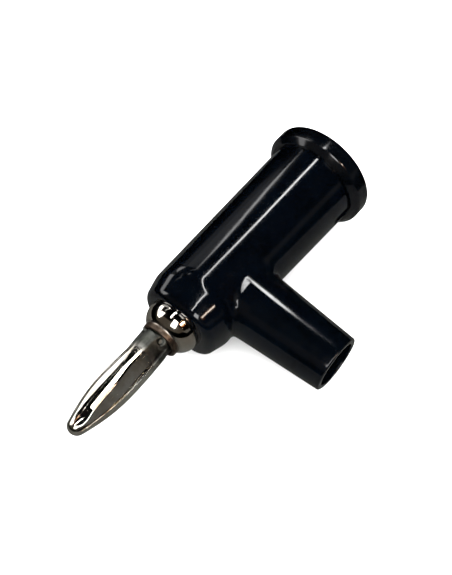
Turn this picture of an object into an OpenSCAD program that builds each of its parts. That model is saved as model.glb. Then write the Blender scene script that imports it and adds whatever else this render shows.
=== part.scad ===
// Stackable test plug: a sprung pin in front, a socket for a second plug in the rear end and a
// side tube for the cable. X runs along the pin and Z is up as the plug lies on a table.
// The origin is the centre of the housing's front face, where the pin's collar seats.

/* [Pin] */
// Length of the pin in front of the housing
pin_length = 16.6; // [15:0.1:20]
// Largest radius of the sprung part
pin_peak_r = 2.1; // [2.1:0.01:2.4]
// Distance of the largest radius from the housing
pin_peak_x = 9.2; // [7.5:0.1:10.5]
// Radius of the rounded tip
pin_tip_r = 1.1; // [1:0.05:1.4]
// Radius where the pin leaves its collar
pin_root_r = 1.75; // [1.7:0.05:2]
// Radius of the neck that sits in the collar
neck_r = 1.6; // [1.5:0.05:1.7]
// Thickness of the folded sheet
sheet = 0.25; // [0.2:0.01:0.3]
// Number of folds round the pin
fold_count = 5; // [3:1:6]
// Radius at the floor of a fold
fold_floor_r = 1.3; // [1.2:0.05:1.4]
// Radius of the bend at the floor of a fold
fold_bend_r = 0.15; // [0.1:0.01:0.2]
// Angle between the flanks of a fold
fold_angle = 14; // [10:1:24]
// Turn of the folds about the pin's axis
fold_turn = 20; // [0:1:90]
// Gap of the seam where the edges of the sheet meet
seam_gap = 0.12; // [0.05:0.01:0.2]

/* [Pin holder] */
// Radius of the ball collar
ball_r = 3.33; // [3.2:0.01:3.4]
// Distance of the ball's centre behind the housing's front face
ball_depth = 0.3; // [0:0.05:0.4]
// Radius of the ring in front of the ball
ring_r = 2.4; // [2.35:0.01:2.5]
// Length of that ring
ring_length = 0.65; // [0.4:0.05:0.8]
// Distance of the ring's flat front from the housing
ring_front_x = 2.85; // [2.6:0.05:3]
// Depth of the cup round the root of the pin
cup_depth = 0.9; // [0.6:0.05:1.2]
// Radius of that cup
cup_r = 2.15; // [2.1:0.01:2.2]
// Depth of the seat for the pin's neck, from the ring's flat front
neck_seat_depth = 2.45; // [2:0.05:2.5]
// Outer radius of the clamping stud
stud_r = 1.95; // [1.8:0.01:2]
// Length of the stud behind the ball
stud_length = 5.9; // [5:0.1:5.9]

/* [Housing] */
// Radius of the sleeve at its rear end
sleeve_rear_r = 5.6; // [5.4:0.05:6]
// Radius of the sleeve where its nose starts
sleeve_front_r = 5.13; // [5.1:0.01:5.4]
// Length of the tapered nose
nose_length = 2.5; // [2:0.1:3]
// Slope of the tapered nose
nose_angle = 15; // [10:1:20]
// Radius of the nose's front edge
nose_round = 0.95; // [0.6:0.05:1]
// Radius of the soft bend from sleeve to nose
nose_bend = 4; // [2:0.5:6]
// Thickness of the front wall
front_wall = 2.2; // [1.8:0.1:2.6]

/* [Side tube] */
// Distance of the side tube's axis behind the front face
side_x = 7.45; // [7.4:0.05:8.5]
// Length of the side tube from the plug's axis
side_length = 16.5; // [14:0.1:20]
// Radius of the side tube where it leaves the sleeve
side_root_r = 4.13; // [3.9:0.01:4.3]
// Radius of the side tube at its open end
side_end_r = 3.4; // [3.2:0.01:3.7]
// Radius of the cable's bore
cable_r = 2.7; // [2.4:0.05:2.9]
// Radius of the outer edge at the open end
side_edge_r = 0.2; // [0.1:0.05:0.3]
// Wall that stops the cable's jacket in front of the metal body
jacket_stop = 0.9; // [0.6:0.1:1.2]
// Radius of the fillet at the side tube's root, on the side of the pin
front_fillet = 0.95; // [0.5:0.05:1]
// Radius of that fillet on the side of the flange
rear_fillet = 0.35; // [0.2:0.05:0.5]

/* [Rear cap] */
// Outer radius of the flange
flange_r = 6.6; // [6.3:0.05:7]
// Thickness of the flange
flange_thickness = 2.6; // [2.2:0.1:3]
// Bevel round the flange's front
flange_bevel = 0.7; // [0.5:0.05:0.9]
// Radius of the flange's rear edge
flange_round = 0.4; // [0.2:0.05:0.6]
// Depth of the mouth that takes the ball collar of a second plug
mouth_depth = 3.3; // [3:0.05:3.6]
// Chamfer round the mouth
mouth_chamfer = 0.3; // [0.1:0.05:0.4]
// Length of the spigot inside the sleeve
spigot_length = 5.7; // [5:0.1:7]
// Wall of the spigot
spigot_wall = 1.04; // [0.9:0.01:1.1]
// Length of the snap window along the plug
window_length = 2.3; // [1.8:0.1:3]
// Width of the snap window
window_width = 1.2; // [1:0.1:1.6]
// Bar of sleeve wall between the window and the flange
window_bar = 0.3; // [0.2:0.05:0.6]
// Radius that the snap tab reaches in the window
tab_r = 5.15; // [4.9:0.05:5.3]
// Height of the tab's low end above the spigot
tab_step = 0.1; // [0.05:0.05:0.3]

/* [Socket body] */
// Outer radius of the turned body
body_r = 3.3; // [3.2:0.01:3.4]
// Radius of the socket
socket_r = 2; // [1.95:0.01:2.1]
// Lead-in at the socket's mouth
socket_lead = 0.4; // [0.2:0.05:0.6]
// Chamfer on the body's outer edges
body_chamfer = 0.25; // [0.1:0.05:0.4]
// Radius of the hole for the wire
wire_r = 1.45; // [1.2:0.05:1.45]
// Depth of the wire's hole beyond the plug's axis
wire_reach = 1.8; // [1.5:0.1:2]
// Wall between the wire's hole and the socket
socket_web = 1; // [0.6:0.1:1.5]
// Room in front of a second plug's tip
tip_room = 0.8; // [0.3:0.1:1]

/* [Clearances] */
// Radial clearance of the stud in its thread
thread_gap = 0.05; // [0.02:0.01:0.1]
// Radial clearance of the stud in the front wall
stud_gap = 0.35; // [0.3:0.01:0.4]
// Radial clearance of the ball collar of a second plug in the mouth
mouth_gap = 0.25; // [0.2:0.01:0.3]
// Radial clearance of the bare wire in the jacket stop
wire_gap = 0.25; // [0.1:0.05:0.4]
// Radial clearance between fixed pieces
seat_gap = 0.04; // [0.02:0.01:0.08]
// Clearance round the snap tab
tab_gap = 0.08; // [0.05:0.01:0.12]
// Room in front of the spigot's end
spigot_room = 0.3; // [0.2:0.1:0.6]

/* [Hidden] */
$fn = 128;
eps = 0.01;
arc_steps = 16;
fillet_stations = 48;
fillet_steps = 6;
sink = 0.03;

// Places along the plug, measured from the front face
rear_x = -(side_x + wire_r + socket_web + pin_length + tip_room);
sleeve_end_x = rear_x + flange_thickness;
body_rear_x = rear_x + mouth_depth;
socket_end_x = rear_x + pin_length + tip_room;
stud_end_x = -stud_length;
thread_end_x = -(side_x + wire_r / 2);
spigot_end_x = sleeve_end_x + spigot_length;

// Radii that follow from the fits
mouth_r = ball_r + mouth_gap;
spigot_bore_r = body_r + seat_gap;
spigot_r = spigot_bore_r + spigot_wall;
thread_r = stud_r + thread_gap;

// The plug lies on the flange, the front of the sleeve and the end of the side tube
rest_slope = (flange_r - sleeve_front_r) / (-rear_x - flange_round - nose_length);
rest_r = sleeve_front_r + rest_slope * (side_x - nose_length);
side_turn = asin(rest_r / norm([side_length, side_end_r])) - atan2(side_end_r, side_length);

// Cone of the side tube
side_slope = (side_root_r - side_end_r) / (side_length - sleeve_front_r);
side_axis_r = side_end_r + side_slope * side_length;
side_taper = atan(side_slope);
jacket_stop_y = body_r + seat_gap + jacket_stop;

// Bow of the sprung pin: one arc from its root to the peak and one from there to the tip
root_x = ring_front_x;
neck_back_x = ring_front_x - neck_seat_depth;
neck_front_x = root_x - (pin_root_r - neck_r) * 1.5;
tip_x = pin_length - pin_tip_r;
rear_bow_r = (pow(pin_peak_x - root_x, 2) + pow(pin_peak_r - pin_root_r, 2)) / 2 / (pin_peak_r - pin_root_r);
front_bow_r = (pow(tip_x - pin_peak_x, 2) + pow(pin_peak_r, 2) - pow(pin_tip_r, 2)) / 2
    / (pin_peak_r - pin_tip_r);
rear_bow_a = asin((pin_peak_x - root_x) / rear_bow_r);
front_bow_a = asin((tip_x - pin_peak_x) / (front_bow_r - pin_tip_r));
fold_bend_x = fold_floor_r + fold_bend_r;

// Revolves a profile, drawn as radius and place along the plug, about the plug's axis
module turned() {
    rotate([0, 90, 0]) rotate_extrude() children();
}

// Extrudes a cross-section, drawn in Y and Z, along the plug
module along_x(from, to) {
    translate([from, 0, 0]) rotate([90, 0, 90]) linear_extrude(to - from) children();
}

// Puts a piece drawn along Z onto the side tube's axis
module on_side_axis() {
    translate([-side_x, 0, 0]) rotate([-90 - side_turn, 0, 0]) children();
}

// A rectangle of a profile, by its radii and its places along the axis
module band(r0, r1, x0, x1) {
    translate([r0, x0]) square([r1 - r0, x1 - x0]);
}

// What a round of radius r takes off the corner p of a profile, whose edges run towards a and b
module corner(p, a, b, r) {
    to_a = (a - p) / norm(a - p);
    to_b = (b - p) / norm(b - p);
    middle = (to_a + to_b) / norm(to_a + to_b);
    half = acos(to_a * to_b) / 2;
    centre = p + middle * r / sin(half);
    reach = r / tan(half);
    difference() {
        polygon([p - middle * r, p + to_a * reach, centre, p + to_b * reach]);
        translate(centre) circle(r);
    }
}

function arc_point(centre_r, centre_x, r, a) = [centre_r + r * cos(a), centre_x + r * sin(a)];

// Outline of the pin, moved inwards by the given depth
function pin_outline(depth, back_x) = concat(
    [[0, back_x], [neck_r - depth, back_x], [neck_r - depth, neck_front_x]],
    [for (i = [0 : arc_steps]) arc_point(pin_peak_r - rear_bow_r, pin_peak_x, rear_bow_r - depth,
        -rear_bow_a * (1 - i / arc_steps))],
    [for (i = [1 : arc_steps]) arc_point(pin_peak_r - front_bow_r, pin_peak_x, front_bow_r - depth,
        front_bow_a * i / arc_steps)],
    [for (i = [1 : arc_steps - 1]) arc_point(0, tip_x, pin_tip_r - depth,
        front_bow_a + (90 - front_bow_a) * i / arc_steps)],
    [[0, pin_length - depth]]
);

// Cross-section of one fold, grown by the given wall
module fold(wall) {
    r = fold_bend_r + wall;
    half = fold_angle / 2;
    out = 2 * pin_peak_r;
    translate([fold_bend_x, 0]) {
        circle(r);
        polygon([
            [-r * sin(half), -r * cos(half)],
            [out, -r / cos(half) - out * tan(half)],
            [out, r / cos(half) + out * tan(half)],
            [-r * sin(half), r * cos(half)]
        ]);
    }
}

// All folds, from the given place on
module folds(wall, from) {
    along_x(from, pin_length)
        for (i = [0 : fold_count - 1])
            rotate(fold_turn + 360 / fold_count * i) fold(wall);
}

module bunch_spring() {
    color("darkkhaki") difference() {
        turned() polygon(pin_outline(0, neck_back_x));
        folds(0, neck_front_x);
        difference() {
            turned() polygon(pin_outline(sheet, neck_back_x - eps));
            folds(sheet, neck_front_x - sheet);
        }
        rotate([fold_turn, 0, 0])
            translate([neck_back_x - eps, 0, -seam_gap / 2])
                cube([tip_x - neck_back_x, pin_peak_r, seam_gap]);
    }
}

module pin_holder() {
    color("tan") turned() difference() {
        union() {
            band(0, stud_r, stud_end_x, 0);
            band(0, ring_r, 0, ring_front_x);
            intersection() {
                translate([0, -ball_depth]) circle(ball_r);
                band(0, ball_r + eps, 0, ring_front_x - ring_length);
            }
        }
        band(0, neck_r + seat_gap, neck_back_x, ring_front_x + eps);
        band(0, cup_r, ring_front_x - cup_depth, ring_front_x + eps);
    }
}

module sleeve_outline() {
    nose_edge = [sleeve_front_r - nose_length * tan(nose_angle), 0];
    nose_start = [sleeve_front_r, -nose_length];
    rear_edge = [sleeve_rear_r, sleeve_end_x];
    difference() {
        polygon([[0, sleeve_end_x], rear_edge, nose_start, nose_edge, [0, 0]]);
        corner(nose_edge, nose_start, [0, 0], nose_round);
        corner(nose_start, rear_edge, nose_edge, nose_bend);
    }
}

module side_tube_outline() {
    difference() {
        polygon([[0, 0], [side_axis_r, 0], [side_end_r, side_length], [0, side_length]]);
        corner([side_end_r, side_length], [side_axis_r, 0], [0, side_length], side_edge_r);
    }
}

function sleeve_r(x) = sleeve_front_r
    + (sleeve_rear_r - sleeve_front_r) * (-x - nose_length) / (-sleeve_end_x - nose_length);
function side_r(height) = side_axis_r - side_slope * height;
function fillet_r(t) = rear_fillet + (front_fillet - rear_fillet) * (1 + cos(t)) / 2;

// Height at which a ball of radius r touches the sleeve and a side tube of radius tube_r
function ball_height(t, r, tube_r) = sqrt(
    pow(sleeve_r(-side_x + (tube_r + r) * cos(t)) + r, 2) - pow((tube_r + r) * sin(t), 2));

// Cross-section of the fillet at the angle t: an inner point, then the arc of the ball that rolls
// round the side tube's root, from the sleeve to the side tube, with both ends sunk a little
function fillet_section(t) =
    let(
        r = fillet_r(t),
        tube_r = side_r(ball_height(t, r, side_root_r)),
        h = ball_height(t, r, tube_r),
        ball = [(tube_r + r) * cos(t), (tube_r + r) * sin(t), h],
        to_sleeve = -[0, ball.y, ball.z] / norm([ball.y, ball.z]),
        to_side = -[cos(t) * cos(side_taper), sin(t) * cos(side_taper), sin(side_taper)],
        turn = acos(to_sleeve * to_side),
        foot = ball + to_sleeve * (r + sink)
    )
    concat(
        [[(tube_r - r) * cos(t), (tube_r - r) * sin(t), foot.z - r], foot],
        [for (i = [1 : fillet_steps - 1]) ball + r * (to_sleeve * sin(turn * (1 - i / fillet_steps))
            + to_side * sin(turn * i / fillet_steps)) / sin(turn)],
        [ball + to_side * (r + sink)]
    );

module root_fillet() {
    sections = [for (i = [0 : fillet_stations - 1]) fillet_section(360 / fillet_stations * i)];
    size = len(sections[0]);
    last = fillet_stations * size;
    polyhedron(
        points = [for (section = sections) each section],
        faces = [
            for (i = [0 : fillet_stations - 1]) for (j = [0 : size - 1])
                let(
                    a = i * size + j,
                    b = i * size + (j + 1) % size,
                    c = (a + size) % last,
                    d = (b + size) % last
                )
                each [[a, b, c], [b, d, c]]
        ]
    );
}

module snap_window() {
    rotate([-side_turn, 0, 0])
        translate([sleeve_end_x + window_bar, spigot_bore_r, -window_width / 2])
            cube([window_length, sleeve_rear_r, window_width]);
}

module housing() {
    color("dimgray") difference() {
        union() {
            turned() sleeve_outline();
            on_side_axis() {
                rotate_extrude() side_tube_outline();
                root_fillet();
            }
        }
        turned() union() {
            band(0, stud_r + stud_gap, -front_wall - eps, eps);
            band(0, body_r + seat_gap, sleeve_end_x - eps, -front_wall);
            band(0, spigot_r + seat_gap, sleeve_end_x - eps, spigot_end_x + spigot_room);
        }
        on_side_axis() {
            cylinder(side_length, wire_r + wire_gap, wire_r + wire_gap);
            translate([0, 0, jacket_stop_y]) cylinder(side_length, cable_r, cable_r);
        }
        snap_window();
    }
}

module snap_tab() {
    low = spigot_r - spigot_wall / 2;
    back_x = sleeve_end_x + window_bar + tab_gap;
    front_x = back_x + window_length - 2 * tab_gap;
    rotate([-side_turn, 0, 0])
        translate([0, 0, tab_gap - window_width / 2])
            linear_extrude(window_width - 2 * tab_gap)
                polygon([
                    [back_x, low], [back_x, tab_r], [(back_x + front_x) / 2, tab_r],
                    [front_x, spigot_r + tab_step], [front_x, low]
                ]);
}

module end_cap() {
    front_edge = [flange_r, sleeve_end_x - flange_bevel];
    rear_edge = [flange_r, rear_x];
    bevel_start = [flange_r - flange_bevel, sleeve_end_x];
    color("gray") {
        turned() difference() {
            union() {
                polygon([[0, rear_x], rear_edge, front_edge, bevel_start, [0, sleeve_end_x]]);
                band(0, spigot_r, sleeve_end_x - eps, spigot_end_x);
            }
            corner(rear_edge, front_edge, [0, rear_x], flange_round);
            corner(front_edge, rear_edge, bevel_start, flange_round);
            band(0, spigot_bore_r, rear_x, spigot_end_x + eps);
            band(0, mouth_r, rear_x - eps, body_rear_x);
            polygon([[0, rear_x - eps], [mouth_r + mouth_chamfer + eps, rear_x - eps],
                [mouth_r, rear_x + mouth_chamfer], [0, rear_x + mouth_chamfer]]);
        }
        snap_tab();
    }
}

module socket_body() {
    c = body_chamfer;
    color("gold") difference() {
        turned() difference() {
            polygon([
                [0, body_rear_x], [body_r - c, body_rear_x], [body_r, body_rear_x + c],
                [body_r, -front_wall - c], [body_r - c, -front_wall], [0, -front_wall]
            ]);
            band(0, socket_r, body_rear_x - eps, socket_end_x);
            polygon([[0, body_rear_x - eps], [socket_r + socket_lead + eps, body_rear_x - eps],
                [socket_r, body_rear_x + socket_lead], [0, body_rear_x + socket_lead]]);
            band(0, thread_r, thread_end_x, -front_wall + eps);
        }
        on_side_axis() translate([0, 0, -wire_reach]) cylinder(wire_reach + body_r + eps, wire_r, wire_r);
    }
}

housing();
end_cap();
socket_body();
pin_holder();
bunch_spring();
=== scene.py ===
import math

import bmesh
import bpy
import numpy as np
from mathutils import Matrix, Vector


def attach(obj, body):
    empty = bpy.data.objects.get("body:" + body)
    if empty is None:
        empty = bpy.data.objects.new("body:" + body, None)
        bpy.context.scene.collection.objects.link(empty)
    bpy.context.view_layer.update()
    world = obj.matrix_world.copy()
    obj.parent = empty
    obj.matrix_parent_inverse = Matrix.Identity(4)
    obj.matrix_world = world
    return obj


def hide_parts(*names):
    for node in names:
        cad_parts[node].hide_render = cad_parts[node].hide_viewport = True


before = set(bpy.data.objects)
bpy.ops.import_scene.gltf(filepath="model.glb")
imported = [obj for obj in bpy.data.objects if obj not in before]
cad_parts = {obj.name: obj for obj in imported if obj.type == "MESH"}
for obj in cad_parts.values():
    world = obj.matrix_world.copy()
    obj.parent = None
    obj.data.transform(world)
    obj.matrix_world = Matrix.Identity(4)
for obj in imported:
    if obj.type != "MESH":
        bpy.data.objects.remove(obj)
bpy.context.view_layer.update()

MM = 0.001

# ---------------------------------------------------------------- sizes
# In millimetres, as in the part's source. X runs along the pin, and names that end in _R are radii.
PIN_LENGTH, PIN_PEAK_R, PIN_PEAK_X, PIN_TIP_R, PIN_ROOT_R = 16.6, 2.1, 9.2, 1.1, 1.75
NECK_R, FOLD_FLOOR_R, FOLD_COUNT, FOLD_TURN = 1.6, 1.3, 5, 20.0
BALL_R, RING_LENGTH, RING_FRONT_X = 3.33, 0.65, 2.85
CUP_DEPTH, SEAT_DEPTH, STUD_R, STUD_LENGTH = 0.9, 2.45, 1.95, 5.9
SLEEVE_REAR_R, SLEEVE_FRONT_R, NOSE_LENGTH, NOSE_ANGLE = 5.6, 5.13, 2.5, 15.0
NOSE_ROUND, NOSE_BEND, FRONT_WALL = 0.95, 4.0, 2.2
SIDE_X, SIDE_LENGTH, SIDE_ROOT_R, SIDE_END_R, CABLE_R = 7.45, 16.5, 4.13, 3.4, 2.7
SIDE_EDGE_R, JACKET_STOP = 0.2, 0.9
FLANGE_R, FLANGE_THICKNESS, FLANGE_BEVEL, FLANGE_ROUND = 6.6, 2.6, 0.7, 0.4
MOUTH_DEPTH, MOUTH_CHAMFER, SPIGOT_LENGTH, SPIGOT_WALL = 3.3, 0.3, 5.7, 1.04
WINDOW_LENGTH, WINDOW_WIDTH, WINDOW_BAR, TAB_R, TAB_STEP = 2.3, 1.2, 0.3, 5.15, 0.1
BODY_R, WIRE_R, SOCKET_WEB, TIP_ROOM = 3.3, 1.45, 1.0, 0.8
STUD_GAP, MOUTH_GAP, WIRE_GAP, SEAT_GAP, TAB_GAP, SPIGOT_ROOM = 0.35, 0.25, 0.25, 0.04, 0.08, 0.3

REAR_X = -(SIDE_X + WIRE_R + SOCKET_WEB + PIN_LENGTH + TIP_ROOM)
SLEEVE_END_X = REAR_X + FLANGE_THICKNESS
SPIGOT_END_X = SLEEVE_END_X + SPIGOT_LENGTH
MOUTH_R = BALL_R + MOUTH_GAP
SPIGOT_BORE_R = BODY_R + SEAT_GAP
SPIGOT_R = SPIGOT_BORE_R + SPIGOT_WALL
SLEEVE_BORE_R = SPIGOT_R + SEAT_GAP
STUD_HOLE_R = STUD_R + STUD_GAP
JACKET_STOP_Y = BODY_R + SEAT_GAP + JACKET_STOP
CHANNEL_R = WIRE_R + WIRE_GAP
SIDE_SLOPE = (SIDE_ROOT_R - SIDE_END_R) / (SIDE_LENGTH - SLEEVE_FRONT_R)
SIDE_AXIS_R = SIDE_END_R + SIDE_SLOPE * SIDE_LENGTH

# The plug lies on its flange, its nose and the end of its side tube. SIDE_TURN is how far that
# turns the side tube from the table's direction.
REST_SLOPE = (FLANGE_R - SLEEVE_FRONT_R) / (-REAR_X - FLANGE_ROUND - NOSE_LENGTH)
REST_R = SLEEVE_FRONT_R + REST_SLOPE * (SIDE_X - NOSE_LENGTH)
SIDE_TURN = (math.asin(REST_R / math.hypot(SIDE_LENGTH, SIDE_END_R))
             - math.atan2(SIDE_END_R, SIDE_LENGTH))


# ---------------------------------------------------------------- mesh tools
WELD_DISTANCE = 2e-7
LATHE_COLUMNS = 160


def linked(name, data):
    """A new object in the scene."""
    obj = bpy.data.objects.new(name, data)
    bpy.context.scene.collection.objects.link(obj)
    return obj


def smooth_object(name, verts, faces, sharp):
    """A welded mesh from points in millimetres. Its edges are smooth up to sharp degrees."""
    mesh = bpy.data.meshes.new(name)
    mesh.from_pydata([tuple(c * MM for c in v) for v in verts], [], faces)
    bm = bmesh.new()
    bm.from_mesh(mesh)
    bmesh.ops.remove_doubles(bm, verts=bm.verts, dist=WELD_DISTANCE)
    bmesh.ops.recalc_face_normals(bm, faces=bm.faces)
    for e in bm.edges:
        e.smooth = len(e.link_faces) == 2 and e.calc_face_angle(0) < math.radians(sharp)
    for f in bm.faces:
        f.smooth = True
    loose = sum(len(e.link_faces) != 2 for e in bm.edges)
    if loose:
        print(name, "has", loose, "open edges")
    bm.to_mesh(mesh)
    bm.free()
    return linked(name, mesh)


def clamp(w):
    return min(1, max(0, w))


def smooth_step(x, a, b):
    """Rises smoothly from 0 at a to 1 at b."""
    w = clamp((x - a) / (b - a))
    return w * w * (3 - 2 * w)


def fade(x, a, b, c, d):
    """Rises from 0 at a to 1 at b, and falls from 1 at c to 0 at d."""
    return smooth_step(x, a, b) * (1 - smooth_step(x, c, d))


def arc(centre, start, end, steps):
    """Points on an arc. start and end point from its centre to its ends."""
    sweep = math.acos(max(-1, min(1, start @ end / np.linalg.norm(start) / np.linalg.norm(end))))
    weights = [(math.sin((1 - k / steps) * sweep), math.sin(k / steps * sweep))
               for k in range(steps + 1)]
    return [centre + (start * a + end * b) / math.sin(sweep) for a, b in weights]


def rounded(corners, steps):
    """A profile from corners (x, y, radius). Each becomes an arc, where its radius isn't zero."""
    points = [np.array(corner[:2], float) for corner in corners]
    out = []
    for i, (p, (_, _, r)) in enumerate(zip(points, corners)):
        if not r:
            out.append(tuple(p))
            continue
        a, b = points[i - 1] - p, points[(i + 1) % len(points)] - p
        a, b = a / np.linalg.norm(a), b / np.linalg.norm(b)
        half = math.acos(max(-1, min(1, a @ b))) / 2
        reach, middle = r / math.tan(half), (a + b) / np.linalg.norm(a + b)
        centre = p + middle * r / math.sin(half)
        start, end = p + a * reach - centre, p + b * reach - centre
        out += [tuple(q) for q in arc(centre, start, end, steps)]
    return out


def spread(points, step):
    """A profile with points added, so that none lie further apart than step."""
    out = [points[0]]
    for p, q in zip(points, points[1:]):
        n = max(1, math.ceil(math.dist(p, q) / step))
        out += [tuple(np.array(p) + (np.array(q) - np.array(p)) * k / n) for k in range(1, n + 1)]
    return out


def on_axis(x, r, angle):
    """A point from its place along the plug, its radius and its angle from the side tube."""
    a = angle - SIDE_TURN
    return (x, r * math.cos(a), r * math.sin(a))


def tilted(x, y, z):
    """A point given in the side tube's own directions, put into the plug's."""
    c, s = math.cos(SIDE_TURN), math.sin(SIDE_TURN)
    return (x, y * c + z * s, -y * s + z * c)


def lathe(name, outline, sharp, closed=True):
    """Turns a profile of (x, r) about the plug's axis. A point on the axis becomes one vertex."""
    verts, rings = [], []
    for x, r in outline:
        if r == 0:
            rings.append([len(verts)] * LATHE_COLUMNS)
            verts.append((x, 0, 0))
        else:
            rings.append(list(range(len(verts), len(verts) + LATHE_COLUMNS)))
            verts += [on_axis(x, r, 2 * math.pi * k / LATHE_COLUMNS) for k in range(LATHE_COLUMNS)]
    faces = []
    for a, b in zip(rings, rings[1:] + (rings[:1] if closed else [])):
        for k in range(LATHE_COLUMNS):
            m = (k + 1) % LATHE_COLUMNS
            quad = [a[k], a[m], b[m], b[k]]
            quad = [v for i, v in enumerate(quad) if v != quad[i - 1]]
            if len(quad) > 2:
                faces.append(quad)
    return smooth_object(name, verts, faces, sharp)


class Patches:
    """Collects points and faces of several patches, which are welded where they meet."""

    def __init__(self):
        self.verts, self.faces = [], []

    def grid(self, rows, keep=lambda i, k: True):
        """Quads between neighbouring rows of points, all the way round, where keep(row, column)."""
        start, width = len(self.verts), len(rows[0])
        for row in rows:
            self.verts += row
        for i in range(len(rows) - 1):
            for k in range(width):
                if keep(i, k):
                    m = (k + 1) % width
                    a, b = start + i * width, start + (i + 1) * width
                    self.faces.append((a + k, a + m, b + m, b + k))

    def fan(self, row, centre):
        """Closes a row with triangles to a centre."""
        start, width = len(self.verts), len(row)
        self.verts += row + [centre]
        self.faces += [(start + k, start + (k + 1) % width, start + width) for k in range(width)]

    def face(self, row):
        """Closes a row with one face."""
        start = len(self.verts)
        self.verts += row
        self.faces.append(tuple(range(start, len(self.verts))))


# ---------------------------------------------------------------- sleeve of the housing
COLUMNS = 120
COLUMN = 2 * math.pi / COLUMNS
NOSE_EDGE = (0, SLEEVE_FRONT_R - NOSE_LENGTH * math.tan(math.radians(NOSE_ANGLE)))
NOSE_START = (-NOSE_LENGTH, SLEEVE_FRONT_R)
NOSE_STEPS, NOSE_SPACING, LINE_SPACING = 10, 0.2, 0.02
BEHIND_ROUND_X, SURELY_BEHIND_X = -0.7, -0.75    # where the round at the nose's edge has ended
ROWS_BEFORE_PATCH, ROWS_BEHIND_PATCH, WINDOW_ROWS = 6, 20, 6
RIM, RIM_BEND = 0.08, 0.3

# The sleeve's surface round the side tube is a patch of its own, with closer rows in front.
PATCH_FRONT_X, PATCH_MIDDLE_X, PATCH_REAR_X = -1.5, -5.5, -12.9
PATCH_FRONT_ROWS, PATCH_REAR_ROWS, PATCH_COLUMNS = 21, 16, 25
PATCH_X = [*np.linspace(PATCH_FRONT_X, PATCH_MIDDLE_X, PATCH_FRONT_ROWS),
           *np.linspace(PATCH_MIDDLE_X, PATCH_REAR_X, PATCH_REAR_ROWS)[1:]]

# The snap window takes the place of two columns on either side.
WINDOW_COLUMNS = 2
WINDOW_REAR_X = SLEEVE_END_X + WINDOW_BAR
WINDOW_X = list(np.linspace(WINDOW_REAR_X + WINDOW_LENGTH, WINDOW_REAR_X, WINDOW_ROWS))

# The bore's surface round the wire's hole is a patch too. It has as many points round it as the
# side tube's patch.
HOLE_COLUMNS, HOLE_MARGIN = 13, 0.6
HOLE_ROWS = len(PATCH_X) - 1 + 2 * PATCH_COLUMNS - 2 * HOLE_COLUMNS
HOLE_X = list(np.linspace(-SIDE_X - CHANNEL_R - HOLE_MARGIN, -SIDE_X + CHANNEL_R + HOLE_MARGIN,
                          HOLE_ROWS + 1))

# The moulding's nose isn't quite round: it has a shallow flat above and below, and swells towards
# the side tube. Each row is an angle from the side tube in degrees, how far the surface stands off
# there and its slope per radian. The form fades in towards the front over NOSE_FORM_X. Over the
# first two radii it fades in, and over the last two it fades out.
NOSE_FORM = ((0, 0.28, 0), (33, 0.5, 0), (68, 0.03, -1.65), (95, -0.36, 0), (109, -0.25, 0.85),
             (137, 0, 0))
NOSE_FORM_X = (-4.3, -2.9)
NOSE_FORM_R = (3.5, 4.2, 5.8, 6.8)

SLEEVE_LINE = np.array(spread(
    rounded([(0, STUD_HOLE_R, 0), (*NOSE_EDGE, NOSE_ROUND), (*NOSE_START, NOSE_BEND),
             (SLEEVE_END_X, SLEEVE_REAR_R, 0)], NOSE_STEPS), LINE_SPACING))
SLEEVE_BACK = SLEEVE_LINE[SLEEVE_LINE[:, 0] <= BEHIND_ROUND_X][::-1]


def nose_form(angle):
    """How far the nose stands off a round one at an angle, as cubic curves between the rows."""
    for (a, p, s), (b, q, t) in zip(NOSE_FORM, NOSE_FORM[1:]):
        if a <= angle <= b:
            w, span = (angle - a) / (b - a), math.radians(b - a)
            near = (2 * w ** 3 - 3 * w ** 2 + 1) * p + (w ** 3 - 2 * w ** 2 + w) * span * s
            return near + (3 * w ** 2 - 2 * w ** 3) * q + (w ** 3 - w ** 2) * span * t
    return 0


def nose_moved(point):
    """Moves a point of the turned housing to the nose's real form."""
    x, y, z = point
    r = math.hypot(y, z)
    angle = abs(math.degrees(math.remainder(math.atan2(z, y) + SIDE_TURN, 2 * math.pi)))
    weight = smooth_step(x, *NOSE_FORM_X) * fade(r, *NOSE_FORM_R)
    k = 1 + nose_form(angle) * weight / r
    return (x, y * k, z * k)


def sleeve_radius(x):
    """Outer radius of the sleeve, behind the nose's round."""
    return float(np.interp(x, SLEEVE_BACK[:, 0], SLEEVE_BACK[:, 1]))


def bore_radius(_):
    return SPIGOT_BORE_R


def signed_angle(k):
    """A column's angle from the side tube, from minus half a turn to half a turn."""
    angle = 2 * math.pi * k / COLUMNS
    return angle if angle < math.pi else angle - 2 * math.pi


def window_edge(r):
    """Angle of the snap window's edge at a radius."""
    return math.asin(WINDOW_WIDTH / 2 / r)


def add_turned_skin(p, rows, window, patch, patch_columns):
    """A turned surface from rows of (x, radius), with openings for the window and for a patch round
    the side tube's axis. Both are given as a first and a last row."""
    angles = [signed_angle(k) for k in range(COLUMNS)]

    def kept(i, k):
        middle = abs(angles[k] + COLUMN / 2)
        in_patch = patch[0] <= i < patch[1] and middle < patch_columns * COLUMN
        in_window = window[0] <= i < window[1] and middle < WINDOW_COLUMNS * COLUMN
        return not (in_patch or in_window)

    grid = []
    for i, (x, r) in enumerate(rows):
        row_angles = list(angles)
        if window[0] <= i <= window[1]:
            row_angles[WINDOW_COLUMNS] = window_edge(r)
            row_angles[-WINDOW_COLUMNS] = -window_edge(r)
        grid.append([on_axis(x, r, a) for a in row_angles])
    p.grid(grid, kept)


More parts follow.
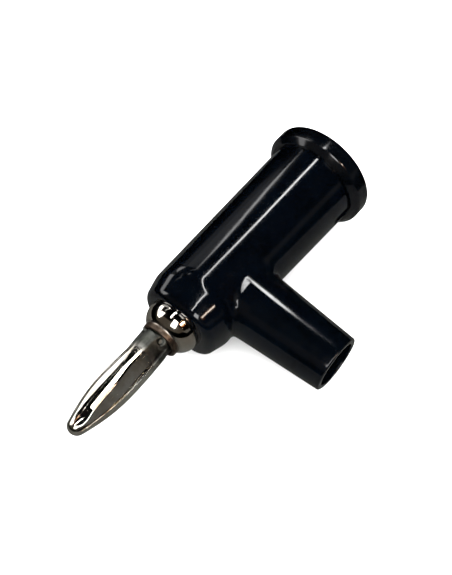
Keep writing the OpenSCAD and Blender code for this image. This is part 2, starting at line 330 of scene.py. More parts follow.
def add_outer_skin(p):
    """The sleeve's outside, from the stud's hole round the nose to the rear edge."""
    nose = spread(rounded([(0, STUD_HOLE_R, 0), (*NOSE_EDGE, NOSE_ROUND), (*NOSE_START, 0)],
                          NOSE_STEPS)[:-1], NOSE_SPACING)
    before = np.linspace(nose[-1][0], PATCH_FRONT_X, ROWS_BEFORE_PATCH)[1:-1]
    behind = np.linspace(PATCH_REAR_X, WINDOW_X[0], ROWS_BEHIND_PATCH)[1:]
    first_patch = len(nose) + len(before)
    last_patch = first_patch + len(PATCH_X) - 1
    first_window = last_patch + len(behind)
    last_window = first_window + len(WINDOW_X) - 1
    edge_r = sleeve_radius(SLEEVE_END_X + RIM)
    rows = nose + [(x, sleeve_radius(x)) for x in (*before, *PATCH_X, *behind, *WINDOW_X[1:])]
    rows += [(SLEEVE_END_X + RIM, edge_r), (SLEEVE_END_X + RIM * RIM_BEND, edge_r - RIM * RIM_BEND),
             (SLEEVE_END_X, edge_r - RIM), (SLEEVE_END_X, SLEEVE_BORE_R)]
    add_turned_skin(p, rows, (first_window, last_window), (first_patch, last_patch), PATCH_COLUMNS)


def add_inner_skin(p):
    """The wider bore for the cap, the bore for the metal body and the stud's hole."""
    step_x = SPIGOT_END_X + SPIGOT_ROOM
    rows = [(x, SLEEVE_BORE_R) for x in (SLEEVE_END_X, *WINDOW_X[::-1], step_x)]
    first_hole = len(rows) + 1
    rows += [(step_x, SPIGOT_BORE_R)] + [(x, SPIGOT_BORE_R) for x in (*HOLE_X, -FRONT_WALL)]
    rows += [(-FRONT_WALL, STUD_HOLE_R), (0, STUD_HOLE_R)]
    add_turned_skin(p, rows, (1, len(WINDOW_X)), (first_hole, first_hole + HOLE_ROWS), HOLE_COLUMNS)


def add_window_walls(p):
    """The snap window's walls, from the sleeve's outside to its bore."""
    loop = [(x, 0) for x in WINDOW_X] + [(WINDOW_X[-1], j) for j in (1, 2, 3, 4)]
    loop += [(x, 4) for x in WINDOW_X[-2::-1]] + [(WINDOW_X[0], j) for j in (3, 2, 1)]

    def wall_point(x, r, j):
        return on_axis(x, r, (-window_edge(r), -COLUMN, 0, COLUMN, window_edge(r))[j])

    p.grid([[wall_point(x, sleeve_radius(x), j) for x, j in loop],
            [wall_point(x, SLEEVE_BORE_R, j) for x, j in loop]])


# ---------------------------------------------------------------- side tube and whole housing
# The fillet at the side tube's root has one radius in front and behind, and another above and
# below. It is the path of a ball, whose height is found by halving a range.
ROOT_FILLET, TOP_FILLET = 0.4, 2.4
BALL_HEIGHTS, BALL_ROUNDS, HEIGHT_HALVINGS = (0.5, 8.0), 8, 40
PATCH_BANDS, FILLET_BANDS, TUBE_BANDS, TUBE_SPACING = 9, 10, 7, 1.0
LEVEL_Y, CHANNEL_END_Y = 7.0, 3.0     # from LEVEL_Y on, the tube's rows are level
MOUTH_EDGE_R, STOP_EDGE_R, EDGE_STEPS = 0.1, 0.05, 6
HOLE_BANDS = (0, 0.35, 0.7, 1)


def side_point(r, y, turn):
    """A point from its distance from the side tube's axis, its place along it and its turn."""
    return tilted(-SIDE_X + r * math.cos(turn), y, r * math.sin(turn))


def ball_on_sleeve(turn, r):
    """Centre of the ball that rolls round the side tube's root, and the points it touches on the
    sleeve and on the tube, at a turn about the tube's axis."""
    tube_r = SIDE_ROOT_R
    for _ in range(BALL_ROUNDS):
        cx = -SIDE_X + (tube_r + r) * math.cos(turn)
        cz = (tube_r + r) * math.sin(turn)
        low, high = BALL_HEIGHTS
        for _ in range(HEIGHT_HALVINGS):
            height = (low + high) / 2
            rho = math.hypot(height, cz)
            near = np.hypot(SLEEVE_LINE[:, 0] - cx, SLEEVE_LINE[:, 1] - rho).min()
            inside = rho < sleeve_radius(min(cx, SURELY_BEHIND_X)) or near < r
            low, high = (height, high) if inside else (low, height)
        tube_r = SIDE_AXIS_R - SIDE_SLOPE * height
    rho = math.hypot(height, cz)
    near = SLEEVE_LINE[np.hypot(SLEEVE_LINE[:, 0] - cx, SLEEVE_LINE[:, 1] - rho).argmin()]
    centre = np.array((cx, height, cz))
    foot = np.array((near[0], height * near[1] / rho, cz * near[1] / rho))
    taper = math.atan(SIDE_SLOPE)
    outwards = np.array((math.cos(turn) * math.cos(taper), math.sin(taper),
                         math.sin(turn) * math.cos(taper)))
    return centre, foot, centre - r * outwards


def patch_loop(rows, columns, radius_at):
    """Points round a rectangular patch of a turned surface, as (x, angle), and the turn of each
    about the side tube's axis. columns: how many on either side of that axis."""
    angles = [2 * math.pi * k / COLUMNS for k in range(-columns, columns + 1)]
    loop = [(x, angles[0]) for x in rows[:-1]] + [(rows[-1], a) for a in angles[:-1]]
    loop += [(x, angles[-1]) for x in rows[:0:-1]] + [(rows[0], a) for a in angles[:0:-1]]
    return loop, [math.atan2(radius_at(x) * a, x + SIDE_X) for x, a in loop]


def between(loop, ends, w, radius_at):
    """A row on a turned surface, the part w of the way from one loop of (x, angle) to another."""
    row = []
    for (x, angle), (end_x, end_angle) in zip(loop, ends):
        here = x + (end_x - x) * w
        row.append(on_axis(here, radius_at(here), angle + (end_angle - angle) * w))
    return row


def add_side_tube(p):
    """The sleeve's patch, the fillet and the tube, in to the wire's hole in the bore. Returns its
    columns' turns about its axis."""
    loop, turns = patch_loop(PATCH_X, PATCH_COLUMNS, sleeve_radius)
    fillets = [ROOT_FILLET + (TOP_FILLET - ROOT_FILLET) * math.sin(t) ** 2 for t in turns]
    balls = [ball_on_sleeve(t, r) for t, r in zip(turns, fillets)]
    feet = [(foot[0], math.atan2(foot[2], foot[1])) for _, foot, _ in balls]
    bands = [between(loop, feet, i / PATCH_BANDS, sleeve_radius) for i in range(PATCH_BANDS)]
    bands.append([tilted(*foot) for _, foot, _ in balls])

    arcs = [arc(centre, foot - centre, side - centre, FILLET_BANDS) for centre, foot, side in balls]
    bands += [[tilted(*arc_points[i]) for arc_points in arcs] for i in range(1, FILLET_BANDS + 1)]

    for w in np.linspace(0, 1, TUBE_BANDS + 1)[1:]:
        heights = [side[1] + (LEVEL_Y - side[1]) * w for _, _, side in balls]
        bands.append([side_point(SIDE_AXIS_R - SIDE_SLOPE * y, y, t)
                      for t, y in zip(turns, heights)])
    end = rounded([(LEVEL_Y, SIDE_AXIS_R - SIDE_SLOPE * LEVEL_Y, 0),
                   (SIDE_LENGTH, SIDE_END_R, SIDE_EDGE_R), (SIDE_LENGTH, CABLE_R, MOUTH_EDGE_R),
                   (JACKET_STOP_Y, CABLE_R, MOUTH_EDGE_R), (JACKET_STOP_Y, CHANNEL_R, STOP_EDGE_R),
                   (CHANNEL_END_Y, CHANNEL_R, 0)], EDGE_STEPS)[:-1]
    bands += [[side_point(r, y, t) for t in turns] for y, r in spread(end, TUBE_SPACING)[1:]]
    bore_y = [math.sqrt(SPIGOT_BORE_R ** 2 - (CHANNEL_R * math.sin(t)) ** 2) for t in turns]
    bands.append([side_point(CHANNEL_R, y, t) for t, y in zip(turns, bore_y)])
    p.grid(bands)
    return turns


def add_hole_patch(p, turns):
    """The bore's wall round the wire's hole."""
    loop, _ = patch_loop(HOLE_X[::-1], HOLE_COLUMNS, bore_radius)
    hole = [(-SIDE_X + CHANNEL_R * math.cos(t), math.asin(CHANNEL_R * math.sin(t) / SPIGOT_BORE_R))
            for t in turns]
    p.grid([between(loop, hole, w, bore_radius) for w in HOLE_BANDS])


def build_housing():
    p = Patches()
    add_outer_skin(p)
    add_inner_skin(p)
    add_window_walls(p)
    turns = add_side_tube(p)
    add_hole_patch(p, turns)
    return smooth_object("housing_shell", [nose_moved(v) for v in p.verts], p.faces, sharp=35)


# ---------------------------------------------------------------- end cap
def build_cap():
    mouth_end_x = REAR_X + MOUTH_DEPTH
    outline = rounded([(REAR_X, FLANGE_R, FLANGE_ROUND),
                       (SLEEVE_END_X - FLANGE_BEVEL, FLANGE_R, FLANGE_ROUND),
                       (SLEEVE_END_X, FLANGE_R - FLANGE_BEVEL, 0.12),
                       (SLEEVE_END_X, SPIGOT_R, 0.05),
                       (SPIGOT_END_X, SPIGOT_R, 0.15),
                       (SPIGOT_END_X, SPIGOT_BORE_R, 0.1),
                       (mouth_end_x, SPIGOT_BORE_R, 0.05),
                       (mouth_end_x, MOUTH_R, 0.1),
                       (REAR_X + MOUTH_CHAMFER, MOUTH_R, 0.08),
                       (REAR_X, MOUTH_R + MOUTH_CHAMFER, 0.12)], 8)
    return lathe("cap_flange", outline, sharp=50)


def build_tab():
    """The cap's snap tab, which shows in the housing's window."""
    low = SPIGOT_R - SPIGOT_WALL / 2
    back = SLEEVE_END_X + WINDOW_BAR + TAB_GAP
    front = back + WINDOW_LENGTH - 2 * TAB_GAP
    outline = rounded([(back, low, 0), (back, TAB_R, 0.12), ((back + front) / 2, TAB_R, 0.3),
                       (front, SPIGOT_R + TAB_STEP, 0.08), (front, low, 0)], 5)
    half = WINDOW_WIDTH / 2 - TAB_GAP
    sides = [[tilted(x, y, z) for x, y in outline] for z in (-half, half)]
    p = Patches()
    p.grid(sides)
    for side in sides:
        p.face(side)
    return smooth_object("cap_tab", p.verts, p.faces, sharp=30)


# ---------------------------------------------------------------- pin holder
# The ball is a little fuller than the solid's, and the ring and the cup are a little smaller. The
# ball's first and last points make way for the roundings.
BULGE_X, BULGE_R, RING_SEEN_R, CUP_SEEN_R = 0.3, 3.32, 2.3, 1.95
BALL_POINTS, BALL_TRIM_BACK, BALL_TRIM_FRONT, BACK_CENTRE_R = 60, 3, 10, 0.5

# The stud's thread runs out in front. Its rear end is blunt.
THREAD_PITCH, THREAD_DEPTH, THREAD_SLOPE, THREAD_CREST = 0.7, 0.22, 1.25, 0.12
THREAD_FRONT_X, THREAD_SPACING, RUN_OUT_X, RUN_OUT_LENGTH = -0.35, 0.035, -0.7, 0.4
STUD_COLUMNS, STUD_FRONT_X, STUD_POINT, STUD_POINT_STEP = 96, 0.3, 0.3, 0.25
POINT_SLOPE, POINT_SHIFT = 0.9, 0.02


def build_ball():
    """The collar's ball, ring and cup, down to the spring's seat."""
    ring_back = RING_FRONT_X - RING_LENGTH
    cup_floor, seat_floor = RING_FRONT_X - CUP_DEPTH, RING_FRONT_X - SEAT_DEPTH
    seat_r = NECK_R + SEAT_GAP
    length = (ring_back - BULGE_X) / math.sqrt(1 - (RING_SEEN_R / BULGE_R) ** 2)
    start, stop = math.asin(-BULGE_X / length), math.asin((ring_back - BULGE_X) / length)
    ball = [(BULGE_X + length * math.sin(a), BULGE_R * math.cos(a))
            for a in np.linspace(start, stop, BALL_POINTS)]
    front = rounded([(*ball[-BALL_TRIM_FRONT], 0), (*ball[-1], 0.4),
                     (RING_FRONT_X, RING_SEEN_R, 0.18), (RING_FRONT_X, CUP_SEEN_R, 0.1),
                     (cup_floor, CUP_SEEN_R, 0.1), (cup_floor, seat_r, 0.08),
                     (seat_floor, seat_r, 0.05), (seat_floor, 0, 0)], 8)
    back = rounded([(0, BACK_CENTRE_R, 0), (0, BULGE_R * math.cos(start), 0.06),
                    (*ball[BALL_TRIM_BACK], 0)], 5)
    outline = [(0, 0)] + back[1:-1] + ball[BALL_TRIM_BACK:-BALL_TRIM_FRONT] + front
    return lathe("collar_ball", outline, sharp=60, closed=False)


def stud_point(x, a):
    """A point of the threaded stud, from its place along the plug and its angle."""
    wave = abs(((x / THREAD_PITCH - a / (2 * math.pi)) % 1) * 2 - 1)
    cut = THREAD_DEPTH * clamp((RUN_OUT_X - x) / RUN_OUT_LENGTH + 0.5)
    r = STUD_R - cut * clamp(wave * THREAD_SLOPE - THREAD_CREST)
    from_end = max(0, x + STUD_LENGTH - STUD_POINT + POINT_SHIFT)
    return on_axis(x, min(r, STUD_R - (THREAD_DEPTH - from_end) * POINT_SLOPE), a)


def build_stud():
    turns = [2 * math.pi * k / STUD_COLUMNS for k in range(STUD_COLUMNS)]
    rear = [on_axis(-STUD_LENGTH, STUD_R - THREAD_DEPTH - STUD_POINT_STEP, a) for a in turns]
    front = [on_axis(STUD_FRONT_X, STUD_R, a) for a in turns]
    thread = [[stud_point(x, a) for a in turns]
              for x in np.arange(-STUD_LENGTH + STUD_POINT, THREAD_FRONT_X, THREAD_SPACING)]
    p = Patches()
    p.grid([rear] + thread + [front])
    p.fan(rear, (-STUD_LENGTH, 0, 0))
    p.fan(front, (STUD_FRONT_X, 0, 0))
    return smooth_object("collar_stud", p.verts, p.faces, sharp=55)


# ---------------------------------------------------------------- sprung pin
LEAF_ANGLE = 360 / FOLD_COUNT

# The leaves are nearly flat facets. The ridge and the bend beside it are rows of a place along the
# pin and an angle in degrees from the leaf's first slit. The rows of faces say which way the
# surface faces, in degrees too, at the angles that leaf_facing gives.
FRONT_RIDGE = ((4.4, 56), (7.5, 55), (8.9, 50), (10.1, 46), (12.0, 44), (13.6, 38), (14.9, 24))
FRONT_BEND = ((4.4, 60), (5.5, 66), (8.5, 67), (10.3, 61), (13.4, 57), (14.6, 50))
FRONT_FACES = (17, 19, 57.2, 58.2, 62, 66)
LEFT_BEND = ((6.3, 15), (7.4, 8), (9.2, 4), (12.2, 6), (13.6, 10), (14.8, 16))
LEFT_RIDGE = ((6.4, 26), (8.9, 27), (10.4, 29), (12.0, 31), (13.4, 29), (15.0, 22))
LEFT_FACES = (-6, -4, 13, 15.5, 54, 58)
PLAIN_FACES = (17, 19, 53, 55)
RIDGE_HALF, FRONT_BEND_WIDTH, LEFT_BEND_WIDTH = 2.0, 1.5, 2.5
FACETS_X = (2.9, 4.0, 14.5, 16.4)

SLITS_X, SLIT_HALF, SLIT_ROLL = (3.2, 4.2, 14.9, 16.1), 0.04, 0.06
CLOSED_SLIT = 1       # the one between the two leaves in front, which shows no gap
DEEP_SLIT_R = 1.9     # where the pin is thinner, its slits are shallower in proportion
DIMPLE_X, DIMPLE_LENGTH, DIMPLE_WIDTH, DIMPLE_DEPTH, DIMPLE_FLAT = 3.2, 0.5, 0.55, 0.25, 0.35
NECK_END_X, SEAT_ROOM = 2.05, 0.1
ROOT_FLARE, FLARE_ANGLES, FLARE_X = 0.36, (85, 125, 200, 240), (2.75, 3.0, 2.9, 6.2)

# Columns lie close together at the slits. Rows lie close together at the root and the tip: the
# spans are (from, to, how many), and the tip's rows lie evenly round an arc.
SLIT_COLUMNS = (0, 0.4, 0.8, 1.2, 1.7, 2.3, 3.0, 3.9, 5.0, 6.4)
MIDDLE_MARGIN, MIDDLE_COLUMNS = 8, 36
LEAF_COLUMNS = np.array([
    *SLIT_COLUMNS, *np.linspace(MIDDLE_MARGIN, LEAF_ANGLE - MIDDLE_MARGIN, MIDDLE_COLUMNS),
    *(LEAF_ANGLE - a for a in SLIT_COLUMNS[:0:-1])])
TIP_START_X, TIP_ROWS = 14.0, 38
PIN_SPANS = ((RING_FRONT_X - SEAT_DEPTH + SEAT_ROOM, 2.2, 8), (2.3, 4.4, 36),
             (4.5, TIP_START_X, 60))
PIN_ROWS = [x for span in PIN_SPANS for x in np.linspace(*span)]
PIN_ROWS += [TIP_START_X + (PIN_LENGTH - TIP_START_X) * math.sin(a)
             for a in np.linspace(0, math.pi / 2, TIP_ROWS)[1:-1]]


def bowed_radius(x):
    """The spring's bowed profile: one arc to its peak, one to the tip, and one round the tip."""
    drop = PIN_PEAK_R - PIN_ROOT_R
    rear = ((PIN_PEAK_X - RING_FRONT_X) ** 2 + drop ** 2) / 2 / drop
    tip_x = PIN_LENGTH - PIN_TIP_R
    front = (((tip_x - PIN_PEAK_X) ** 2 + PIN_PEAK_R ** 2 - PIN_TIP_R ** 2) / 2
             / (PIN_PEAK_R - PIN_TIP_R))
    if x < PIN_PEAK_X:
        return PIN_PEAK_R - rear + math.sqrt(max(0, rear ** 2 - (x - PIN_PEAK_X) ** 2))
    turn = math.asin((tip_x - PIN_PEAK_X) / (front - PIN_TIP_R))
    if x < tip_x + PIN_TIP_R * math.sin(turn):
        return PIN_PEAK_R - front + math.sqrt(front ** 2 - (x - PIN_PEAK_X) ** 2)
    return math.sqrt(max(0, PIN_TIP_R ** 2 - (x - tip_x) ** 2))


def pin_outer(x, angle):
    """The spring's outer radius. Its root stands out on the side away from the side tube."""
    flare = ROOT_FLARE * fade(angle, *FLARE_ANGLES) * fade(x, *FLARE_X)
    if x < RING_FRONT_X:
        return NECK_R + (PIN_ROOT_R - NECK_R) * smooth_step(x, NECK_END_X, RING_FRONT_X) + flare
    return bowed_radius(x) + flare


def along(table, x):
    return float(np.interp(x, [row[0] for row in table], [row[1] for row in table]))


def leaf_facing(leaf, x):
    """Angles from the leaf's first slit, and the way that the surface faces at each."""
    if leaf == 0:
        ridge, bend = along(FRONT_RIDGE, x), along(FRONT_BEND, x)
        return (0, ridge - RIDGE_HALF, ridge + RIDGE_HALF, bend, bend + FRONT_BEND_WIDTH,
                LEAF_ANGLE), FRONT_FACES
    if leaf == 1:
        ridge, bend = along(LEFT_RIDGE, x), along(LEFT_BEND, x)
        return (0, bend, bend + LEFT_BEND_WIDTH, ridge - RIDGE_HALF, ridge + RIDGE_HALF,
                LEAF_ANGLE), LEFT_FACES
    ridge = LEAF_ANGLE / 2
    return (0, ridge - RIDGE_HALF, ridge + RIDGE_HALF, LEAF_ANGLE), PLAIN_FACES


def leaf_radii(leaf, x):
    """Radii round a leaf that make its surface face as it should. The largest is the pin's own."""
    facing = np.interp(LEAF_COLUMNS, *leaf_facing(leaf, x))
    slopes = np.tan(np.radians(LEAF_COLUMNS - facing))
    steps = (slopes[1:] + slopes[:-1]) / 2 * np.radians(np.diff(LEAF_COLUMNS))
    grown = np.concatenate(([0], np.cumsum(steps)))
    outer = np.array([pin_outer(x, FOLD_TURN + leaf * LEAF_ANGLE + a) for a in LEAF_COLUMNS])
    return outer * np.exp(fade(x, *FACETS_X) * (grown - grown.max()))


def pin_surface(leaf, x, a, r):
    """The radius r at the angle a from a leaf's first slit, less the dimple and the slits."""
    outer = pin_outer(x, FOLD_TURN + leaf * LEAF_ANGLE + a)
    from_dimple = math.hypot((x - DIMPLE_X) / DIMPLE_LENGTH,
                             math.radians(a - LEAF_ANGLE / 2) * outer / DIMPLE_WIDTH)
    r -= DIMPLE_DEPTH * (1 - smooth_step(from_dimple, DIMPLE_FLAT, 1.0))
    opened = fade(x, *SLITS_X) * (leaf + round(a / LEAF_ANGLE) != CLOSED_SLIT)
    from_slit = math.radians(min(a, LEAF_ANGLE - a)) * outer
    w = clamp((from_slit - SLIT_HALF) / SLIT_ROLL)
    floor = min(r, FOLD_FLOOR_R * min(1, outer / DEEP_SLIT_R))
    return r - (r - floor) * opened * (1 - math.sqrt(1 - (1 - w) ** 2))


def build_pin():
    rows = []
    for x in PIN_ROWS:
        row = []
        for leaf in range(FOLD_COUNT):
            start = FOLD_TURN + leaf * LEAF_ANGLE
            row += [on_axis(x, pin_surface(leaf, x, a, r), math.radians(start + a) + SIDE_TURN)
                    for a, r in zip(LEAF_COLUMNS[:-1], leaf_radii(leaf, x)[:-1])]
        rows.append(row)
    p = Patches()
    p.grid(rows)
    p.fan(rows[0], (PIN_ROWS[0], 0, 0))
    p.fan(rows[-1], (PIN_LENGTH, 0, 0))
    return smooth_object("spring_folds", p.verts, p.faces, sharp=75)


# ---------------------------------------------------------------- materials
MIX_A, MIX_B, MIX_RESULT = 6, 7, 2    # a mix node's sockets for colours
PLASTIC_IOR, MATT_ROUGHNESS, MATT_SHINE = 1.5, 0.9, 0.2


class Shading:
    """A material that is being built, with its Principled shader. Noise runs in the object's own
    coordinates, with scales per metre."""

    def __init__(self, name):
        self.material = bpy.data.materials.new(name)
        self.material.use_nodes = True
        self.tree = self.material.node_tree
        self.tree.nodes.clear()
        out = self.tree.nodes.new("ShaderNodeOutputMaterial")
        self.shader = self.tree.nodes.new("ShaderNodeBsdfPrincipled")
        self.link(self.shader.outputs[0], out.inputs[0])
        self.coords = self.tree.nodes.new("ShaderNodeTexCoord")

    def link(self, source, socket):
        self.tree.links.new(source, socket)

    def feed(self, name, source):
        """Links a source to the shader's input of that name."""
        self.link(source, self.shader.inputs[name])

    def set(self, name, value):
        """Sets a constant on the shader's own input of that name."""
        self.shader.inputs[name].default_value = value

    def noise(self, scale, detail=3.0, rough=0.5, stretch=(1, 1, 1)):
        mapping = self.tree.nodes.new("ShaderNodeMapping")
        mapping.inputs["Scale"].default_value = stretch
        self.link(self.coords.outputs["Object"], mapping.inputs[0])
        noise = self.tree.nodes.new("ShaderNodeTexNoise")
        for name, value in (("Scale", scale), ("Detail", detail), ("Roughness", rough)):
            noise.inputs[name].default_value = value
        self.link(mapping.outputs[0], noise.inputs["Vector"])
        return noise.outputs["Fac"]

    def ramp(self, source, stops):
        """A colour ramp with stops (place, colour), where a colour is three values or one grey."""
        ramp = self.tree.nodes.new("ShaderNodeValToRGB")
        self.link(source, ramp.inputs[0])
        elements = ramp.color_ramp.elements
        while len(elements) < len(stops):
            elements.new(0.5)
        for element, (place, colour) in zip(elements, stops):
            element.position = place
            element.color = (*(colour if isinstance(colour, tuple) else (colour,) * 3), 1)
        return ramp.outputs[0]

    def bump(self, source, strength, distance, before=None):
        """A bump of a distance in millimetres, on top of the bump before."""
        bump = self.tree.nodes.new("ShaderNodeBump")
        bump.inputs["Strength"].default_value = strength
        bump.inputs["Distance"].default_value = distance * MM
        self.link(source, bump.inputs["Height"])
        if before:
            self.link(before, bump.inputs["Normal"])
        return bump.outputs[0]

    def along_x(self, start, stop):
        """0 at the place start along the plug and 1 at stop, in millimetres."""
        split = self.tree.nodes.new("ShaderNodeSeparateXYZ")
        self.link(self.coords.outputs["Object"], split.inputs[0])
        place = self.tree.nodes.new("ShaderNodeMapRange")
        place.inputs["From Min"].default_value = start * MM
        place.inputs["From Max"].default_value = stop * MM
        self.link(split.outputs["X"], place.inputs["Value"])
        return place.outputs[0]

    def mix(self, factor, a, b):
        mix = self.tree.nodes.new("ShaderNodeMix")
        mix.data_type = "RGBA"
        self.link(factor, mix.inputs["Factor"])
        self.link(a, mix.inputs[MIX_A])
        self.link(b, mix.inputs[MIX_B])
        return mix.outputs[MIX_RESULT]


def plastic(name, base, dark, rough):
    """Glossy moulded plastic, with a haze, slow swells and fine scratches."""
    s = Shading(name)
    s.feed("Base Color", s.ramp(s.noise(350, 2), [(0.3, dark), (0.7, base)]))
    s.feed("Roughness", s.ramp(s.noise(900, 5, 0.6), [(0.35, rough * 0.8), (0.7, rough * 1.25)]))
    swell = s.bump(s.noise(420, 2, 0.4), 0.5, 0.012)
    s.feed("Normal", s.bump(s.noise(2600, 4, 0.6, (0.25, 1.2, 1.0)), 0.35, 0.0012, swell))
    s.set("IOR", PLASTIC_IOR)
    return s.material


def metal(name, bright, stain, rough, stretch, shaded_end=None):
    """Polished plating, with stains, a haze, fine lines and dents. worn: a duller end, darker with
    painted shade, as (dull up to x, polished from x, colour, roughness)."""
    s = Shading(name)
    tone = s.ramp(s.noise(260, 4, 0.6), [(0.42, bright), (0.72, stain)])
    haze = s.ramp(s.noise(700, 5, 0.65), [(0.35, rough * 0.6), (0.75, rough * 1.8)])
    if shaded_end:
        # The darker colour at this end is painted shade.
        dull_x, polished_x, colour, dullness = shaded_end
        polished = s.along_x(dull_x, polished_x)
        dark = tuple(c * 0.6 for c in colour)
        shaded_tone = s.ramp(s.noise(900, 4, 0.7), [(0.35, dark), (0.7, colour)])
        end_haze = s.ramp(s.noise(1100, 4, 0.7), [(0.3, dullness * 0.8), (0.7, dullness * 1.2)])
        tone, haze = s.mix(polished, shaded_tone, tone), s.mix(polished, end_haze, haze)
    s.feed("Base Color", tone)
    s.feed("Roughness", haze)
    lines = s.bump(s.noise(900, 4, 0.6, stretch), 0.4, 0.0015)
    s.feed("Normal", s.bump(s.noise(500, 2, 0.5), 0.35, 0.003, lines))
    s.set("Metallic", 1.0)
    return s.material


def matt(name, colour, glow=0.0):
    """A matt stage surface, faintly uneven, which may give off light."""
    s = Shading(name)
    darker = tuple(c * 0.985 for c in colour)
    s.feed("Base Color", s.ramp(s.noise(9), [(0.3, darker), (0.7, colour)]))
    s.set("Roughness", MATT_ROUGHNESS)
    s.set("Specular IOR Level", MATT_SHINE)
    if glow:
        s.set("Emission Color", (*colour, 1))
        s.set("Emission Strength", glow)
    return s.material


black = plastic("black_moulding", (0.0003, 0.0008, 0.0017), (0.00015, 0.0004, 0.0009), 0.1)
cap_black = plastic("black_cap", (0.0004, 0.0008, 0.0014), (0.0002, 0.0004, 0.0008), 0.13)
# The spring's root next to the collar, up to x 4.6 and fading out by 6.4, is painted darker:
# painted shade.
nickel = metal("nickel_spring", (0.78, 0.76, 0.70), (0.50, 0.43, 0.34), 0.09, (0.12, 1.4, 1.4),
               (4.6, 6.4, (0.12, 0.125, 0.11), 0.42))
# The collar's front around the pin's root, from x 2.3 on, is painted dark brown: painted shade in
# the corner.
collar = metal("nickel_collar", (0.80, 0.77, 0.71), (0.50, 0.42, 0.33), 0.08, (1.6, 0.25, 0.25),
               (2.3, 1.9, (0.16, 0.12, 0.09), 0.4))
turned_brass = metal("nickel_socket", (0.74, 0.70, 0.62), (0.50, 0.42, 0.30), 0.18, (1.8, 0.2, 0.2))


# ---------------------------------------------------------------- pieces
def finish_piece(obj, mat, body, slot, *nodes):
    obj.data.materials.clear()
    obj.data.materials.append(mat)
    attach(obj, body)
    if nodes:
        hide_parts(*nodes)


finish_piece(build_housing(), black, "plug", "black_plastic", "housing")
finish_piece(build_cap(), cap_black, "plug", "cap_plastic", "end_cap")
finish_piece(build_tab(), cap_black, "plug", "cap_plastic")
finish_piece(build_ball(), collar, "pin", "collar_plating", "pin_holder")
finish_piece(build_stud(), collar, "pin", "collar_plating")
finish_piece(build_pin(), nickel, "pin", "spring_plating", "bunch_spring")
for material_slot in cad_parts["socket_body"].material_slots:
    material_slot.material = turned_brass

# ---------------------------------------------------------------- floor and backdrop
FLOOR_ANGLE = math.atan(REST_SLOPE)
FLOOR_X = Vector((math.cos(FLOOR_ANGLE), 0, math.sin(FLOOR_ANGLE)))
FLOOR_Y = Vector((0, 1, 0))
FLOOR_UP = Vector((-math.sin(FLOOR_ANGLE), 0, math.cos(FLOOR_ANGLE)))
FLOOR_POINT = Vector((-NOSE_LENGTH, 0, -SLEEVE_FRONT_R)) * MM
DISC_SIDES = 96
STAGE_RADIUS, GLOSS_RADIUS = 1.4, 0.045    # metres
FLOOR_DROP, GLOSS_DROP = 0.005, 0.02       # millimetres under the plug


def hide_from(obj, *rays):
    """Keeps an object from being seen by these kinds of ray."""
    for ray in rays:
        setattr(obj, f"visible_{ray}", False)


def disc(name, radius, drop, mat):
    centre = FLOOR_POINT - FLOOR_UP * drop * MM
    turns = [2 * math.pi * k / DISC_SIDES for k in range(DISC_SIDES)]
    verts = [centre + (FLOOR_X * math.cos(a) + FLOOR_Y * math.sin(a)) * radius for a in turns]
    mesh = bpy.data.meshes.new(name)
    mesh.from_pydata([tuple(v) for v in verts], [], [tuple(range(DISC_SIDES))])
    mesh.materials.append(mat)
    obj = linked(name, mesh)
    return obj


# A white floor takes the light and the shadow. Glossy surfaces show a small dark one instead.
floor = disc("floor", STAGE_RADIUS, FLOOR_DROP, matt("pale_floor", (0.86, 0.86, 0.855)))
hide_from(floor, "glossy")
near_floor = disc("floor_seen_in_gloss", GLOSS_RADIUS, GLOSS_DROP,
                  matt("grey_floor", (0.042, 0.042, 0.039)))
hide_from(near_floor, "camera", "diffuse", "shadow", "transmission", "volume_scatter")

backdrop = linked("backdrop", bpy.data.meshes.new("backdrop"))
bm = bmesh.new()
bmesh.ops.create_icosphere(bm, subdivisions=4, radius=STAGE_RADIUS)
bm.to_mesh(backdrop.data)
bm.free()
backdrop.data.materials.append(matt("pale_backdrop", (0.9, 0.9, 0.9), 1.0))
hide_from(backdrop, "glossy", "diffuse", "shadow", "transmission", "volume_scatter")

# ---------------------------------------------------------------- lamps
# The lamps are what glossy surfaces show. The floor's light and shadow come from the world alone.
# Reflected rays alone find lamps above MAX_SAMPLED, so that the black flag can hide them.
TARGET = Vector((-5, 0, 0)) * MM
MAX_SAMPLED = 15
WHITE = (1, 1, 1)


def lamp(name, points, radiance, colour):
    """A flat lamp with corners in metres, which the camera and matt surfaces don't see."""
    mesh = bpy.data.meshes.new(name)
    mesh.from_pydata([tuple(q) for q in points], [], [tuple(range(len(points)))])
    mat = bpy.data.materials.new(name)
    mat.use_nodes = True
    nodes = mat.node_tree.nodes
    nodes.clear()
    out, glow = nodes.new("ShaderNodeOutputMaterial"), nodes.new("ShaderNodeEmission")
    glow.inputs["Color"].default_value = (*colour, 1)
    glow.inputs["Strength"].default_value = radiance
    mat.node_tree.links.new(glow.outputs[0], out.inputs[0])
    mat.cycles.emission_sampling = "NONE" if radiance > MAX_SAMPLED else "AUTO"
    mesh.materials.append(mat)
    obj = linked(name, mesh)
    hide_from(obj, "camera", "shadow", "diffuse")


def high_lamp(name, outline, radiance, colour=WHITE, height=0.5):
    """A lamp above the plug. Its outline is in floor directions per unit of height."""
    lamp(name, [TARGET + (FLOOR_X * u + FLOOR_Y * v + FLOOR_UP) * height for u, v in outline],
         radiance, colour)


def near_lamp(name, corners, radiance):
    """A lamp close to the plug, with corners in millimetres."""
    lamp(name, [Vector(corner) * MM for corner in corners], radiance, WHITE)


def ribbon(name, path, width, radiances):
    """A bent strip of high lamps along a path, each with its own radiance."""
    points = [Vector(q) for q in path]
    sides = []
    for i, q in enumerate(points):
        along_path = (points[min(i + 1, len(points) - 1)] - points[max(i - 1, 0)]).normalized()
        across = Vector((-along_path.y, along_path.x)) * width / 2
        sides.append((q + across, q - across))
    for i, radiance in enumerate(radiances):
        (a, b), (c, d) = sides[i], sides[i + 1]
        high_lamp(f"{name}_{i}", [a, b, d, c], radiance)


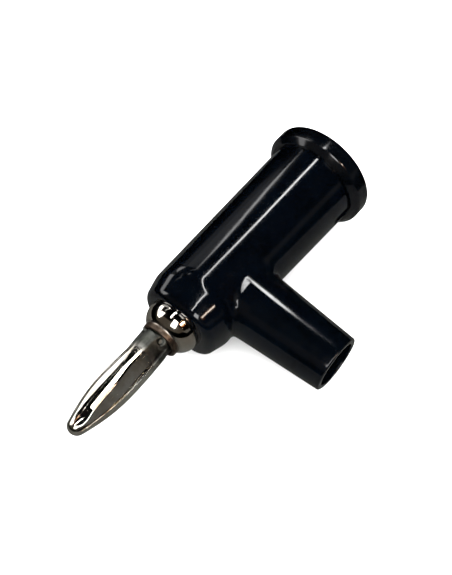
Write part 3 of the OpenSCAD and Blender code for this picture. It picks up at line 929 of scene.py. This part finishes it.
ribbon("strip", [(-0.66, -0.06), (-0.55, -0.05), (-0.45, -0.015), (-0.4, -0.005), (-0.345, -0.02)],
       0.062, [3, 24, 24, 20])
ribbon("strip_front", [(-0.345, -0.03), (-0.2, -0.035), (0.36, -0.04)], 0.045, [20, 20])
ribbon("window_edge", [(-0.74, -1.04), (-0.39, -0.54), (-0.2, -0.64), (0.05, -0.76)],
       0.06, [6, 1.5, 0.8])
high_lamp("window", [(-0.39, -0.57), (-0.72, -1.05), (-0.95, -1.5), (-0.46, -1.45)], 0.4)
high_lamp("window_low", [(-0.95, -1.5), (-0.46, -1.45), (-0.7, -2.6), (-1.4, -2.6)], 0.2)
high_lamp("warm_lamp", [(-0.3, 0.9), (0.3, 0.9), (0.3, 1.06), (-0.3, 1.06)], 24, (1, 0.84, 0.7))
high_lamp("warm_edge", [(-0.33, 0.8), (0.4, 0.8), (0.4, 1.35), (-0.33, 1.35)], 1.2,
          (1, 0.42, 0.16), 0.502)
high_lamp("front_lamp", [(0.3, 0.25), (0.3, 0.62), (1.5, 0.95), (1.5, 0.3)], 8)
high_lamp("front_haze", [(0.75, -3), (4, -4), (4, 4), (0.75, 3)], 0.07, (1, 0.86, 0.7), 0.51)
high_lamp("left_lamp", [(0.3, -0.6), (0.8, -0.85), (1.6, -1.6), (1.4, -2.3), (0.6, -1.6),
                        (0.3, -1.2)], 4)
high_lamp("side_glow", [(1.6, 3.0), (-3.0, 3.0), (-5.5, 9.0), (1.6, 9.5)], 0.12,
          (1, 0.98, 0.94), 0.1)
near_lamp("pin_card", [(-16, -44, 35), (-15, -51, 23), (30, -55, 30), (30, -49, 41)], 3)

# A black flag keeps the front of the strip off the side tube's flank.
near_lamp("tube_flag", [(-8.6, 4.72, 6), (-3.7, 4.72, 6), (-3.0, 6.3, 6), (-0.5, 6.3, 6),
                        (-0.5, 18, 6), (-8.6, 18, 6)], 0)

# ---------------------------------------------------------------- world and camera
WORLD_STRENGTH = 4.2

# The scene takes the world first, because setting a visibility updates the scene's world.
world = bpy.data.worlds.new("studio")
bpy.context.scene.world = world
world.use_nodes = True
background = world.node_tree.nodes["Background"]
background.inputs["Color"].default_value = (1, 1, 1, 1)
background.inputs["Strength"].default_value = WORLD_STRENGTH
world.cycles_visibility.glossy = False
world.cycles_visibility.camera = False

# The camera's place in millimetres, its directions and its lens were fitted to the photograph.
CAMERA_PLACE = (36.307, 44.818, 90.692)
CAMERA_FORWARD = (-0.39583, -0.39638, -0.82834)
CAMERA_RIGHT, CAMERA_UP = (-0.63401, 0.77051, -0.06569), (-0.66427, -0.49921, 0.55628)
SENSOR_WIDTH, FOCAL_LENGTH, CLIP_START, CLIP_END = 36, 61.27, 0.01, 10

camera = linked("camera", bpy.data.cameras.new("camera"))
camera.matrix_world = Matrix(
    (CAMERA_RIGHT, CAMERA_UP, [-c for c in CAMERA_FORWARD])).transposed().to_4x4()
camera.matrix_world.translation = Vector(CAMERA_PLACE) * MM
camera.data.sensor_width, camera.data.lens = SENSOR_WIDTH, FOCAL_LENGTH
camera.data.clip_start, camera.data.clip_end = CLIP_START, CLIP_END
bpy.context.scene.camera = camera
bpy.context.scene.view_settings.view_transform = "Standard"
